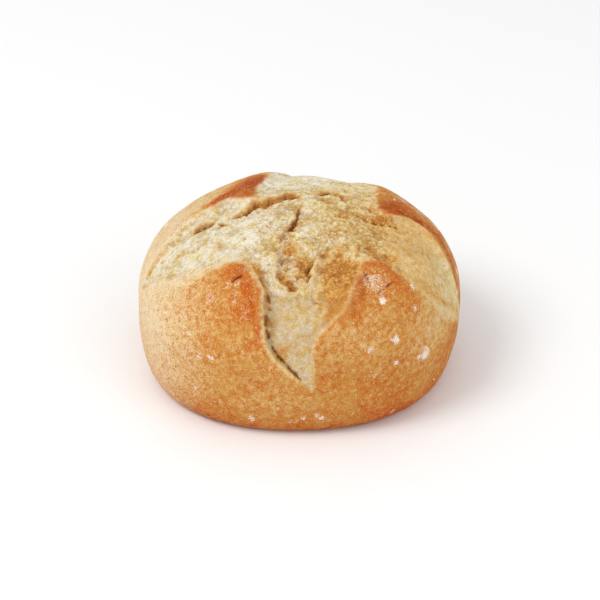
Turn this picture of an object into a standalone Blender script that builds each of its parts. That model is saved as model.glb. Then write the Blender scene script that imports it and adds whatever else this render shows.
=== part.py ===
"""A crusty white bread roll, slashed with a cross before baking, as one closed solid.

The roll is a low dome with a rounded heel and a flat underside. Its surface is worked out on a flat map of
the skin, as if the crust were peeled off and laid out: u runs to the right and v to the back, in millimetres
along the skin from the crown. The two slashes open in the oven into four arms of crumb, and part the crust
into four petals whose edges curl up. Lengths are in millimetres until the mesh is made.
"""

import math

import bmesh
import bpy
import numpy as np
from mathutils import Vector, noise

NAME = "bread_roll"
MM = 0.001

# The body: a dome above the waist, a rounded heel below it, and the flat that the roll rests on. The fullness
# values are the powers of the curves: 2 is an ellipse, and more is boxier. The petals make the plan a little
# square: it is wider than the mean by the share SQUARENESS across the petals, and as much narrower across the
# arms, so the roll measures 100 x 93 mm. It leans a little to the right as it rises.
MEAN_WIDTH = 102.0
MEAN_DEPTH = 95.0
CROWN_HEIGHT = 56.0
WAIST_HEIGHT = 24.5
FLAT_RADIUS = 42.0
DOME_FULLNESS_OUT = 2.1
DOME_FULLNESS_UP = 2.0
HEEL_FULLNESS = 2.6
SQUARENESS = 0.018
LEAN = 0.03
LUMP_HEIGHT = 0.6
LUMP_LENGTH = 24.0
LUMPS_FROM = 10.0

# Where the dough rose more or less than the plain dome: a map place, how far it reaches, and its height.
SWELLS = (
    ((-1.0, 34.0), 8.0, 0.6),
    ((7.0, 30.0), 12.0, -0.4),
    ((-44.0, 8.0), 11.0, -0.8),
    ((38.0, 28.0), 11.0, -1.0),
)

# The cross. Each arm runs out from the middle of the cross to where the slash closes. On each side of an arm,
# the edge gives the distance along the arm and how far the crust lies to that side. The curl is how high the
# crust turns up at most, and the sink is how deep the crumb lies below it at most. The slope is the width of
# the step between the two, at the middle of the cross and at the arm's end. A petal lies between one arm's
# counterclockwise edge and the next arm's clockwise edge, and its tip is rounded where the two meet.
CROSS_MIDDLE = (2.0, -13.0)
ARMS = {
    "front": {
        "heading": -90.0,
        "length": 58.0,
        "counterclockwise": {
            "edge": (
                *((8, 15.4), (14, 14.6), (18, 14.2), (25, 13.0), (31, 11.2), (35, 8.4)),
                *((39, 4.8), (44, 2.2), (52, 3.4), (58, 4.0)),
            ),
            "curl": 1.8,
            "sink": 3.4,
            "slope": (10.0, 1.5),
        },
        "clockwise": {
            "edge": (
                *((8, 17.6), (14, 16.8), (18, 16.2), (22, 15.0), (27, 13.8), (31, 14.0)),
                *((35, 14.7), (39, 14.8), (43, 14.0), (48, 11.4), (53, 6.0), (58, -2.4)),
            ),
            "curl": 2.2,
            "sink": 3.8,
            "slope": (2.6, 0.8),
        },
    },
    "right": {
        "heading": 0.0,
        "length": 66.0,
        "counterclockwise": {
            "edge": (
                *((14, 12.8), (20, 12.4), (23, 10.6), (27, 12.8), (33, 14.8)),
                *((39, 14.0), (48, 7.6), (56, 1.0), (66, -8.0)),
            ),
            "curl": 1.4,
            "sink": 1.6,
            "slope": (1.5, 3.0),
        },
        "clockwise": {
            "edge": (
                *((10, 14.0), (14, 13.0), (17, 12.2), (22, 12.0), (26, 14.2)),
                *((32, 15.2), (45, 15.2), (66, 3.4)),
            ),
            "curl": 1.9,
            "sink": 1.0,
            "slope": (5.0, 5.0),
        },
    },
    "back": {
        "heading": 90.0,
        "length": 72.0,
        "counterclockwise": {
            "edge": ((10, 15.6), (22, 15.0), (34, 12.4), (46, 10.0), (72, -4.0)),
            "curl": 2.4,
            "sink": 1.2,
            "slope": (3.0, 3.0),
        },
        "clockwise": {
            "edge": ((8, 20.6), (17, 20.6), (27, 20.8), (42, 21.0), (72, 4.0)),
            "curl": 1.2,
            "sink": 1.3,
            "slope": (3.0, 4.0),
        },
    },
    "left": {
        "heading": 180.0,
        "length": 62.0,
        "counterclockwise": {
            "edge": (
                *((10, 17.0), (15, 14.6), (18, 13.6), (22, 12.9), (26, 12.5)),
                *((42, 10.4), (52, 4.0), (62, -2.6)),
            ),
            "curl": 1.9,
            "sink": 0.8,
            "slope": (5.0, 5.0),
        },
        "clockwise": {
            "edge": ((12, 12.2), (17, 12.2), (20, 14.0), (24, 18.8), (30, 18.0), (43, 11.6), (62, 2.0)),
            "curl": 1.8,
            "sink": 1.3,
            "slope": (2.2, 1.5),
        },
    },
}
# How much of its most the curl and the sink reach along an arm, from the middle (0) to the end (1).
CURL_ALONG = ((0.1, 0.6), (0.28, 1.0), (0.6, 0.48), (1.0, 0.0))
SINK_ALONG = ((0.1, 0.35), (0.5, 1.0), (0.75, 0.8), (1.0, 0.0))
TIP_ROUNDING = 2.2
CREST_BACK = 3.0
CREST_RISE = 3.2
CREST_FALL = 10.0
SINK_REACH = 12.0

# Ledges torn in the crumb: a path on the map, the step's height, and how far the crumb takes to ease back on
# each side. Looking along the path, the left side is the high one where the height is positive.
LEDGES = (
    (((0.6, 2.6), (-2, 4.6), (-5, 5.2), (-8.6, 3.4), (-11.8, 0.6), (-15.5, -1.2), (-24, -3.8)), -2.0, 6.0),
    (((-26.4, -2.8), (-29.5, -2.4), (-33.5, -2.6), (-37.2, -3.6)), -1.8, 5.0),
    (((2.2, -41), (2.5, -36.6), (3, -32.4), (4, -28.8), (7.6, -26.4), (8.8, -22.6), (14, -18)), -1.6, 5.0),
    (((-8.4, -22.0), (-7.6, -28.0), (-7.4, -35.0), (-3.4, -38.4)), 1.2, 5.0),
)
LEDGE_SLOPE = 0.9

# The mesh: cells along each edge of the cube that is blown up into the roll. They are closer together above
# the waist, and rows of them are gathered to the crust's edges where these stand well above the crumb.
CELLS = 30
TOP_CROWDING = 3.0
CROWDING_BLEND = 8.0
GATHER = 1.6
GATHERED_SINK = (0.3, 1.2)

CRUST_COLOUR = (0.66, 0.34, 0.11, 1.0)
CRUST_ROUGHNESS = 0.6


def clear_scene():
    for obj in list(bpy.data.objects):
        bpy.data.objects.remove(obj, do_unlink=True)


def ease(value, start, end):
    """0 before start and 1 after end, with level ends between."""
    share = np.clip((value - start) / (end - start), 0.0, 1.0)
    return share * share * (3.0 - 2.0 * share)


def hump(distance, width):
    """1 at distance 0, fading smoothly to either side."""
    return np.exp(-((distance / width) ** 2))


def through(value, stations, heights):
    """A smooth curve through the heights: level before the first station, straight on after the last."""
    slopes = np.gradient(heights, stations)
    slopes[0] = 0.0
    held = np.clip(value, stations[0], stations[-1])
    i = np.clip(np.searchsorted(stations, held, side="right") - 1, 0, len(stations) - 2)
    gap = stations[i + 1] - stations[i]
    f = (held - stations[i]) / gap
    curve = (
        heights[i] * (1 + 2 * f) * (1 - f) ** 2
        + heights[i + 1] * f**2 * (3 - 2 * f)
        + gap * slopes[i] * f * (1 - f) ** 2
        - gap * slopes[i + 1] * f**2 * (1 - f)
    )
    return curve + slopes[-1] * np.maximum(value - stations[-1], 0.0)


def body_profile():
    """Distance along the skin, radius and height, from the crown to the middle of the underside."""
    turn = np.linspace(0.0, math.pi / 2, 400)
    half = MEAN_WIDTH / 2
    dome_r = half * np.sin(turn) ** (2 / DOME_FULLNESS_OUT)
    dome_z = WAIST_HEIGHT + (CROWN_HEIGHT - WAIST_HEIGHT) * np.cos(turn) ** (2 / DOME_FULLNESS_UP)
    heel_r = FLAT_RADIUS + (half - FLAT_RADIUS) * np.cos(turn) ** (2 / HEEL_FULLNESS)
    heel_z = WAIST_HEIGHT * (1 - np.sin(turn) ** (2 / HEEL_FULLNESS))
    flat_r = np.linspace(FLAT_RADIUS, 0.0, 60)
    radius = np.concatenate([dome_r, heel_r[1:], flat_r[1:]])
    height = np.concatenate([dome_z, heel_z[1:], np.zeros(59)])
    skin = np.concatenate([[0.0], np.cumsum(np.hypot(np.diff(radius), np.diff(height)))])
    return skin, radius, height


def lay_out(directions):
    """The map places of points on a ball, spread evenly over the skin but closer together above the waist."""
    skin, radius, height = body_profile()
    above = ease(height - WAIST_HEIGHT, -CROWDING_BLEND, CROWDING_BLEND)
    crowding = 1.0 + (TOP_CROWDING - 1.0) * above
    steps = np.diff(skin) * (radius * crowding)[1:]
    area = np.concatenate([[0.0], np.cumsum(steps)])
    share = (1.0 - directions[:, 2]) / 2
    reach = np.interp(share * area[-1], area, skin)
    level = np.maximum(np.hypot(directions[:, 0], directions[:, 1]), 1e-9)
    return reach * directions[:, 0] / level, reach * directions[:, 1] / level


def on_body(u, v):
    """The plain body's points and outward normals at map places."""
    skin, radius, height = body_profile()
    reach = np.hypot(u, v)
    across = np.where(reach > 1e-6, u / np.maximum(reach, 1e-6), 1.0)
    back = np.where(reach > 1e-6, v / np.maximum(reach, 1e-6), 0.0)
    r = np.interp(reach, skin, radius) * (1 - SQUARENESS * np.cos(4 * np.arctan2(back, across)))
    z = np.interp(reach, skin, height)
    run = np.interp(reach, skin, np.gradient(radius, skin))
    fall = -np.interp(reach, skin, np.gradient(height, skin))
    oval = MEAN_DEPTH / MEAN_WIDTH
    points = np.stack([r * across + LEAN * (z - WAIST_HEIGHT), oval * r * back, z], axis=1)
    normals = np.stack([fall * across, fall * back / oval, run], axis=1)
    return points, normals / np.linalg.norm(normals, axis=1, keepdims=True)


def along_arm(share, stations):
    """How much of its most a quantity reaches at a share of an arm's length."""
    at, amount = np.array(stations).T
    return through(np.clip(share, at[0], at[-1]), at, amount)


def edge_field(along, offset, length, side):
    """Signed distance into the crust from one edge of an arm, and its curl, sink and slope there."""
    stations, edge = np.array(side["edge"], float).T
    at = through(along, stations, edge)
    lean = through(along + 0.5, stations, edge) - through(along - 0.5, stations, edge)
    distance = (offset - at) / np.sqrt(1 + lean**2)
    share = along / length
    curl = side["curl"] * along_arm(share, CURL_ALONG)
    sink = side["sink"] * along_arm(share, SINK_ALONG)
    first, last = side["slope"]
    slope = first + (last - first) * ease(share, 0.1, 0.7)
    return distance, curl, sink, slope


def petals(u, v):
    """For each of the four petals: the distance into it, its curl, sink and slope, and the way out of it."""
    fields = {}
    for name, arm in ARMS.items():
        heading = math.radians(arm["heading"])
        out_u, out_v = math.cos(heading), math.sin(heading)
        du, dv = u - CROSS_MIDDLE[0], v - CROSS_MIDDLE[1]
        along = du * out_u + dv * out_v
        offset = dv * out_u - du * out_v
        fields[name] = (
            edge_field(along, offset, arm["length"], arm["counterclockwise"]),
            edge_field(along, -offset, arm["length"], arm["clockwise"]),
            (-out_v, out_u),
        )
    names = list(ARMS)
    for name, following in zip(names, names[1:] + names[:1]):
        first, _, side = fields[name]
        _, second, next_side = fields[following]
        share = 1 / (1 + np.exp(np.clip((first[0] - second[0]) / TIP_ROUNDING, -40, 40)))
        nearness = np.logaddexp(-first[0] / TIP_ROUNDING, -second[0] / TIP_ROUNDING)
        distance = -TIP_ROUNDING * nearness
        curl, sink, slope = (a * share + b * (1 - share) for a, b in zip(first[1:], second[1:]))
        out_u = -side[0] * share + next_side[0] * (1 - share)
        out_v = -side[1] * share + next_side[1] * (1 - share)
        yield distance, curl, sink, slope, out_u, out_v


def path_field(u, v, path):
    """Distance from a path, the side (positive on its left), and the share of its length run so far."""
    path = np.array(path, float)
    lengths = np.hypot(*np.diff(path, axis=0).T)
    starts = np.concatenate([[0.0], np.cumsum(lengths)])
    best = np.full(u.shape, np.inf)
    side = np.zeros(u.shape)
    along = np.zeros(u.shape)
    for (u0, v0), (u1, v1), length, start in zip(path[:-1], path[1:], lengths, starts):
        du, dv = (u1 - u0) / length, (v1 - v0) / length
        run = np.clip((u - u0) * du + (v - v0) * dv, 0.0, length)
        away = np.hypot(u - u0 - run * du, v - v0 - run * dv)
        nearer = away < best
        best = np.where(nearer, away, best)
        side = np.where(nearer, np.sign(du * (v - v0) - dv * (u - u0)), side)
        along = np.where(nearer, (start + run) / starts[-1], along)
    return best, side, along


def ledge_height(u, v):
    """The steps torn in the crumb: up on one side of each path and down on the other, easing off."""
    height = np.zeros(u.shape)
    for path, step, reach in LEDGES:
        distance, side, along = path_field(u, v, path)
        taper = ease(along, 0.0, 0.25) * ease(1 - along, 0.0, 0.25)
        rise = np.tanh(side * distance / LEDGE_SLOPE) * hump(distance, reach)
        height += 0.5 * step * taper * rise
    return height


def lumps(points):
    """Gentle unevenness of hand-shaped dough, none on the underside."""
    waves = np.array([noise.noise(Vector(point) / LUMP_LENGTH) for point in points])
    return LUMP_HEIGHT * waves * ease(points[:, 2], 1.0, LUMPS_FROM)


def swell_height(u, v):
    """The gentle rises and hollows of the dome."""
    height = np.zeros(u.shape)
    for (u0, v0), reach, rise in SWELLS:
        height += rise * hump(np.hypot(u - u0, v - v0), reach)
    return height


def gather(u, v):
    """Moves map places near a crust edge closer to it, so that the mesh follows the edge."""
    for distance, _, sink, _, out_u, out_v in petals(u, v):
        pull = distance * hump(distance, GATHER) * ease(sink, *GATHERED_SINK)
        u = u + pull * out_u
        v = v + pull * out_v
    return u, v


def roll_surface(u, v):
    """The roll's points at map places: the body, with its curled petals and the torn crumb between them."""
    points, normals = on_body(u, v)
    height = ledge_height(u, v) + swell_height(u, v) + lumps(points)
    for distance, curl, sink, slope, _, _ in petals(u, v):
        crest = hump(distance - CREST_BACK, np.where(distance > CREST_BACK, CREST_FALL, CREST_RISE))
        drop = ease(-distance / slope, 0.0, 1.0) * hump(distance, SINK_REACH)
        height += curl * crest - sink * drop
    return points + normals * height[:, None]


def roll_mesh():
    """A cube, subdivided and blown up to a ball, whose points move to the roll's surface."""
    bm = bmesh.new()
    bmesh.ops.create_cube(bm, size=2.0)
    bmesh.ops.subdivide_edges(bm, edges=bm.edges[:], cuts=CELLS - 1, use_grid_fill=True)
    cube = np.array([vert.co for vert in bm.verts])
    ball = np.tan(cube * math.pi / 4)
    ball /= np.linalg.norm(ball, axis=1, keepdims=True)
    points = roll_surface(*gather(*lay_out(ball)))
    low, high = points.min(axis=0), points.max(axis=0)
    points -= ((low[0] + high[0]) / 2, (low[1] + high[1]) / 2, low[2])
    for vert, point in zip(bm.verts, points):
        vert.co = point * MM
    bmesh.ops.triangulate(bm, faces=bm.faces[:])
    mesh = bpy.data.meshes.new(NAME)
    bm.to_mesh(mesh)
    bm.free()
    mesh.shade_smooth()
    return mesh


def crust_material():
    material = bpy.data.materials.new("baked_crust")
    material.use_nodes = True
    shader = material.node_tree.nodes["Principled BSDF"]
    shader.inputs["Base Color"].default_value = CRUST_COLOUR
    shader.inputs["Roughness"].default_value = CRUST_ROUGHNESS
    shader.inputs["Metallic"].default_value = 0.0
    return material


def main():
    clear_scene()
    collection = bpy.data.collections.new(NAME)
    bpy.context.scene.collection.children.link(collection)
    roll = bpy.data.objects.new(NAME, roll_mesh())
    roll.data.materials.append(crust_material())
    collection.objects.link(roll)


main()
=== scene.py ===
# %% [markdown]
# # A crusty bread roll
#
# The baker slashes a cross into the dough before it goes into the oven. As the dough rises, the slashes
# tear open: four petals of brown crust curl back, and pale, rough crumb shows between them. This lesson
# dresses the plain solid of that roll. It builds one dense mesh in its place, shapes the lips, cracks and
# pores in it, and gives it a baked finish.

import math

import bmesh
import bpy
import numpy as np
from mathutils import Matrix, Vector, noise


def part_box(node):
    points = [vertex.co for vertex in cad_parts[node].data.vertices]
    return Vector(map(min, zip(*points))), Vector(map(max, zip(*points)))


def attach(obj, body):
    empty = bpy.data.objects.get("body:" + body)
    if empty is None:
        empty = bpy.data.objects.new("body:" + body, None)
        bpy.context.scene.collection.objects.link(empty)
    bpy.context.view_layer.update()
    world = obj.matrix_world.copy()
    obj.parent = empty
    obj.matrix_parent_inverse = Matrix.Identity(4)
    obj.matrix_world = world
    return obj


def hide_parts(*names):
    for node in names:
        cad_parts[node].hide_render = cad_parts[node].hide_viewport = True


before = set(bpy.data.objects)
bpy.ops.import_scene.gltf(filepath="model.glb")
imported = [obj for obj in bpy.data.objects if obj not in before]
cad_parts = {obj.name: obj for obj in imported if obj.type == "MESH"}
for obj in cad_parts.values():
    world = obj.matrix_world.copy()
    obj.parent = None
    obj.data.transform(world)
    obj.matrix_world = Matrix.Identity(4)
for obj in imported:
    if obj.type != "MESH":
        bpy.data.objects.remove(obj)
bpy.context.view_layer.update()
ROLL_LOW, ROLL_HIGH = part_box("bread_roll")
MM = 0.001
print("roll:", [round((high - low) / MM, 1) for low, high in zip(ROLL_LOW, ROLL_HIGH)], "mm")

# %% [markdown]
# ## Smooth shapes
#
# Dough has no sharp corners, so most shapes here are worked out with smooth steps, smooth humps and smooth
# curves. A step goes from 0 to 1 between two places, and a hump is 1 at its middle and fades to either
# side. What a baker would call an edge, a ridge or a groove is made from these. They could be drawn with
# the proportional editing tool, but a formula can be changed by one number.


# %% Smooth steps and humps
def ease(value, start, end):
    """0 before start and 1 after end, with level ends between."""
    share = np.clip((value - start) / (end - start), 0.0, 1.0)
    return share * share * (3.0 - 2.0 * share)


def hump(distance, width):
    """1 at distance 0, fading smoothly to either side."""
    return np.exp(-((distance / width) ** 2))


def through(value, stations, heights):
    """A smooth curve through the heights: level before the first station, straight on after the last."""
    slopes = np.gradient(heights, stations)
    slopes[0] = 0.0
    held = np.clip(value, stations[0], stations[-1])
    i = np.clip(np.searchsorted(stations, held, side="right") - 1, 0, len(stations) - 2)
    gap = stations[i + 1] - stations[i]
    f = (held - stations[i]) / gap
    curve = (
        heights[i] * (1 + 2 * f) * (1 - f) ** 2
        + heights[i + 1] * f**2 * (3 - 2 * f)
        + gap * slopes[i] * f * (1 - f) ** 2
        - gap * slopes[i + 1] * f**2 * (1 - f)
    )
    return curve + slopes[-1] * np.maximum(value - stations[-1], 0.0)


print("a hump halfway to its width:", round(float(hump(0.5, 1.0)), 2))


# %% [markdown]
# ## The body
#
# The roll was shaped by hand into a ball and sank a little on the tray, so it is a low dome over a rounded
# heel. It could be sculpted, but a formula keeps it equal to the solid that it replaces. Places on it are
# given on a flat map of the skin, as if the crust were peeled off and laid out: u runs to the right and v
# to the back, in millimetres along the skin from the crown.

# %% The body and the map of its skin
MEAN_WIDTH = 102.0
MEAN_DEPTH = 95.0
CROWN_HEIGHT = 56.0
WAIST_HEIGHT = 24.5
FLAT_RADIUS = 42.0
DOME_FULLNESS_OUT = 2.1
DOME_FULLNESS_UP = 2.0
HEEL_FULLNESS = 2.6
CURVE_STEPS = 400
FLAT_STEPS = 60
SQUARENESS = 0.018
LEAN = 0.03
# Each swell or dent: its middle on the map, its reach and its height.
SWELLS = (
    ((-1.0, 34.0), 8.0, 0.6),
    ((7.0, 30.0), 12.0, -0.4),
    ((-44.0, 8.0), 11.0, -0.8),
    ((38.0, 28.0), 11.0, -1.0),
)


def body_profile():
    """Distance along the skin, radius and height, from the crown to the middle of the underside."""
    turn = np.linspace(0.0, math.pi / 2, CURVE_STEPS)
    half = MEAN_WIDTH / 2
    dome_r = half * np.sin(turn) ** (2 / DOME_FULLNESS_OUT)
    dome_z = WAIST_HEIGHT + (CROWN_HEIGHT - WAIST_HEIGHT) * np.cos(turn) ** (2 / DOME_FULLNESS_UP)
    heel_r = FLAT_RADIUS + (half - FLAT_RADIUS) * np.cos(turn) ** (2 / HEEL_FULLNESS)
    heel_z = WAIST_HEIGHT * (1 - np.sin(turn) ** (2 / HEEL_FULLNESS))
    flat_r = np.linspace(FLAT_RADIUS, 0.0, FLAT_STEPS)
    radius = np.concatenate([dome_r, heel_r[1:], flat_r[1:]])
    height = np.concatenate([dome_z, heel_z[1:], np.zeros(FLAT_STEPS - 1)])
    skin = np.concatenate([[0.0], np.cumsum(np.hypot(np.diff(radius), np.diff(height)))])
    return skin, radius, height


SKIN, RADIUS, HEIGHT = body_profile()


def on_body(u, v):
    """The plain body's points and outward normals at map places."""
    reach = np.hypot(u, v)
    across = np.where(reach > 1e-6, u / np.maximum(reach, 1e-6), 1.0)
    back = np.where(reach > 1e-6, v / np.maximum(reach, 1e-6), 0.0)
    r = np.interp(reach, SKIN, RADIUS) * (1 - SQUARENESS * np.cos(4 * np.arctan2(back, across)))
    z = np.interp(reach, SKIN, HEIGHT)
    run = np.interp(reach, SKIN, np.gradient(RADIUS, SKIN))
    fall = -np.interp(reach, SKIN, np.gradient(HEIGHT, SKIN))
    oval = MEAN_DEPTH / MEAN_WIDTH
    points = np.stack([r * across + LEAN * (z - WAIST_HEIGHT), oval * r * back, z], axis=1)
    normals = np.stack([fall * across, fall * back / oval, run], axis=1)
    return points, normals / np.linalg.norm(normals, axis=1, keepdims=True)


print("skin from crown to the middle of the underside:", round(float(SKIN[-1]), 1), "mm")

# %% [markdown]
# ## A dense skin
#
# The roll needs small cells where the crumb is torn, and can do with large ones underneath. A cube is
# subdivided and blown up into a ball, because a ball made that way has no poles. Its points are then spread
# over the map: crowded above the waist, more crowded round the middle of the cross, and gathered to the
# crust's edges.

# %% Spread a ball's points over the map
CELLS = 128
SIDE_CROWDING = 1.3
TOP_CROWDING = 4.0
UNDERSIDE_CROWDING = 0.4
CROWDING_BLEND = 8.0
CROSS_MIDDLE = (2.0, -13.0)
FRONT_END = (0.0, -60.0)
CROWDED = ((CROSS_MIDDLE, 30.0, 0.3), (FRONT_END, 14.0, 0.35))


def blown_up_cube(cells):
    """A bmesh of a cube with square cells, and the directions of its points on a ball."""
    bm = bmesh.new()
    bmesh.ops.create_cube(bm, size=2.0)
    bmesh.ops.subdivide_edges(bm, edges=bm.edges[:], cuts=cells - 1, use_grid_fill=True)
    cube = np.array([vert.co for vert in bm.verts])
    ball = np.tan(cube * math.pi / 4)
    return bm, ball / np.linalg.norm(ball, axis=1, keepdims=True)


def lay_out(directions):
    """The map places of points on a ball, closer together higher up."""
    above = ease(HEIGHT - WAIST_HEIGHT, -CROWDING_BLEND, CROWDING_BLEND)
    side = UNDERSIDE_CROWDING + (SIDE_CROWDING - UNDERSIDE_CROWDING) * ease(HEIGHT, 0.0, 6.0)
    crowding = side + (TOP_CROWDING - side) * above
    area = np.concatenate([[0.0], np.cumsum(np.diff(SKIN) * (RADIUS * crowding)[1:])])
    share = (1.0 - directions[:, 2]) / 2
    reach = np.interp(share * area[-1], area, SKIN)
    level = np.maximum(np.hypot(directions[:, 0], directions[:, 1]), 1e-9)
    return reach * directions[:, 0] / level, reach * directions[:, 1] / level


def crowd(u, v):
    """Draws the map places towards the finest parts: the middle of the cross and the end of its front arm."""
    for (u0, v0), reach, strength in CROWDED:
        du, dv = u - u0, v - v0
        pull = strength * hump(np.hypot(du, dv), reach)
        u, v = u - pull * du, v - pull * dv
    return u, v


print("square cells in the mesh:", 6 * CELLS**2)


# %% [markdown]
# ## The cross
#
# Each arm of the cross runs out from the middle to where its slash closes. The blade went in at a slant, so
# the two sides of an arm differ: one is a soft slope, the other a curled lip. Each side has its own line
# for the crust's edge, and a curl, a drop to the crumb and a width of that drop.

# %% The arms of the cross
# Each side of an arm: the crust's edge as distances along the arm and out from its middle line, how high the
# crust curls, and how deep the crumb sinks. Then, near the middle of the cross and near the arm's end: the
# width of the slope, the softness of the crust's edge, the share of overhang, and the paleness of the rim
# with its painted highlight.
ARMS = {
    "front": {
        "heading": -90.0,
        "length": 58.0,
        "counterclockwise": {
            "edge": (
                *((8, 15.4), (14, 14.6), (18, 14.2), (25, 13.0), (31, 11.2), (35, 8.4)),
                *((39, 4.8), (44, 2.2), (52, 3.4), (58, 4.0)),
            ),
            "curl": 1.8,
            "sink": 3.4,
            "slope": (11.0, 1.2),
            "fade": (1.2, 1.0),
            "undercut": (0.0, 0.0),
            "rim_and_highlight": (0.1, 0.25),
        },
        "clockwise": {
            "edge": (
                *((8, 17.6), (14, 16.8), (18, 16.2), (22, 15.0), (27, 13.8), (31, 14.0)),
                *((35, 14.7), (39, 14.8), (43, 14.0), (48, 11.4), (53, 6.0), (58, -2.4)),
            ),
            "curl": 2.2,
            "sink": 3.8,
            "slope": (3.0, 0.8),
            "fade": (2.2, 0.4),
            "undercut": (0.35, 1.0),
            "rim_and_highlight": (0.5, 1.0),
        },
    },
    "right": {
        "heading": 0.0,
        "length": 66.0,
        "counterclockwise": {
            "edge": (
                *((14, 12.8), (20, 12.4), (23, 10.6), (27, 12.8), (33, 14.8), (39, 14.0)),
                *((48, 7.6), (56, 1.0), (66, -8.0)),
            ),
            "curl": 1.4,
            "sink": 1.6,
            "slope": (1.5, 3.0),
            "fade": (0.5, 1.0),
            "undercut": (0.3, 0.0),
            "rim_and_highlight": (0.0, 0.0),
        },
        "clockwise": {
            "edge": (
                *((10, 14.0), (14, 13.0), (17, 12.2), (22, 12.0), (26, 14.2), (32, 15.2)),
                *((45, 15.2), (66, 3.4)),
            ),
            "curl": 1.9,
            "sink": 1.0,
            "slope": (5.0, 5.0),
            "fade": (1.6, 3.5),
            "undercut": (0.0, 0.0),
            "rim_and_highlight": (0.0, 0.0),
        },
    },
    "back": {
        "heading": 90.0,
        "length": 72.0,
        "counterclockwise": {
            "edge": ((10, 15.6), (22, 15.0), (34, 12.4), (46, 10.0), (72, -4.0)),
            "curl": 2.4,
            "sink": 1.2,
            "slope": (3.0, 3.0),
            "fade": (1.2, 1.6),
            "undercut": (0.0, 0.0),
            "rim_and_highlight": (0.0, 0.0),
        },
        "clockwise": {
            "edge": ((8, 20.6), (17, 20.6), (27, 20.8), (42, 21.0), (72, 4.0)),
            "curl": 1.2,
            "sink": 1.3,
            "slope": (3.0, 4.0),
            "fade": (0.5, 2.0),
            "undercut": (0.2, 0.0),
            "rim_and_highlight": (0.8, 0.0),
        },
    },
    "left": {
        "heading": 180.0,
        "length": 62.0,
        "counterclockwise": {
            "edge": (
                *((10, 17.0), (15, 14.6), (18, 13.6), (22, 12.9), (26, 12.5), (42, 10.4)),
                *((52, 4.0), (62, -2.6)),
            ),
            "curl": 1.9,
            "sink": 0.8,
            "slope": (5.0, 5.0),
            "fade": (1.8, 3.5),
            "undercut": (0.0, 0.0),
            "rim_and_highlight": (0.0, 0.0),
        },
        "clockwise": {
            "edge": (
                *((12, 12.2), (17, 12.2), (20, 14.0), (24, 18.8), (30, 18.0)),
                *((43, 11.6), (62, 2.0)),
            ),
            "curl": 1.8,
            "sink": 1.3,
            "slope": (2.2, 1.5),
            "fade": (1.2, 2.5),
            "undercut": (0.0, 0.0),
            "rim_and_highlight": (0.3, 0.0),
        },
    },
}
print("arms, mm:", {name: arm["length"] for name, arm in ARMS.items()})

# %% The petals between the arms
# The share of an arm's length, and how much of its most the curl or the sink reaches there.
CURL_ALONG = ((0.1, 0.6), (0.28, 1.0), (0.6, 0.48), (1.0, 0.0))
SINK_ALONG = ((0.1, 0.35), (0.5, 1.0), (0.75, 0.8), (1.0, 0.0))
TIP_ROUNDING = 2.2


def along_arm(share, stations):
    """How much of its most a quantity reaches at a share of an arm's length."""
    at, amount = np.array(stations).T
    return through(np.clip(share, at[0], at[-1]), at, amount)


def edge_field(along, offset, length, side):
    """Signed distance into the crust from one edge of an arm, and the values of its drop there."""
    stations, edge = np.array(side["edge"], float).T
    at = through(along, stations, edge)
    lean = through(along + 0.5, stations, edge) - through(along - 0.5, stations, edge)
    distance = (offset - at) / np.sqrt(1 + lean**2)
    share = along / length
    curl = side["curl"] * along_arm(share, CURL_ALONG)
    sink = side["sink"] * along_arm(share, SINK_ALONG)
    outwards = ease(share, 0.3, 0.75)
    slope, fade, undercut, rim_and_highlight = (
        side[key][0] + (side[key][1] - side[key][0]) * outwards
        for key in ("slope", "fade", "undercut", "rim_and_highlight")
    )
    ends = ease(share, 0.2, 0.35) * ease(sink, 0.1, 0.8)
    fade = fade * (1 - 0.85 * ease(share, 0.85, 1.08))
    return distance, curl, sink, slope, fade, undercut * ends, rim_and_highlight * ease(sink, 0.05, 0.5)


def petals(u, v):
    """For each petal: the distance into it, the values of its drop there, and the way out of it."""
    fields = {}
    for name, arm in ARMS.items():
        heading = math.radians(arm["heading"])
        out_u, out_v = math.cos(heading), math.sin(heading)
        du, dv = u - CROSS_MIDDLE[0], v - CROSS_MIDDLE[1]
        along = du * out_u + dv * out_v
        offset = dv * out_u - du * out_v
        fields[name] = (
            edge_field(along, offset, arm["length"], arm["counterclockwise"]),
            edge_field(along, -offset, arm["length"], arm["clockwise"]),
            (-out_v, out_u),
        )
    names = list(ARMS)
    for name, following in zip(names, names[1:] + names[:1]):
        first, _, side = fields[name]
        _, second, next_side = fields[following]
        share = 1 / (1 + np.exp(np.clip((first[0] - second[0]) / TIP_ROUNDING, -40, 40)))
        nearness = np.logaddexp(-first[0] / TIP_ROUNDING, -second[0] / TIP_ROUNDING)
        distance = -TIP_ROUNDING * nearness
        values = (a * share + b * (1 - share) for a, b in zip(first[1:], second[1:]))
        out_u = -side[0] * share + next_side[0] * (1 - share)
        out_v = -side[1] * share + next_side[1] * (1 - share)
        yield distance, *values, out_u, out_v


print("the middle of the cross on the map, mm:", CROSS_MIDDLE)


# %% [markdown]
# ## Noise
#
# Dough is uneven at every size: the hand leaves lumps a few centimetres long, the tear leaves strands of a
# few millimetres, and gas leaves pores. A sculptor would brush these on. Here each size is a layer of
# noise, given by the length of its waves, because that comes out the same on every run.


# %% Layers of noise
# Without a seed, noise_vector starts from the clock and every run gives another roll.
noise.seed_set(11)
NOISE_ROUGHNESS = 0.9
CHANCE_SPREAD = 97.0


def waves(points, length, octaves=1, seed=0.0):
    """Smooth noise from about -1 to 1 whose waves are this many millimetres long."""
    shift = Vector((seed, 2 * seed, -seed))
    if octaves == 1:
        return np.array([noise.noise(Vector(point) / length + shift) for point in points])
    return np.array(
        [noise.fractal(Vector(point) / length + shift, NOISE_ROUGHNESS, 2.0, octaves) for point in points]
    )


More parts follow.
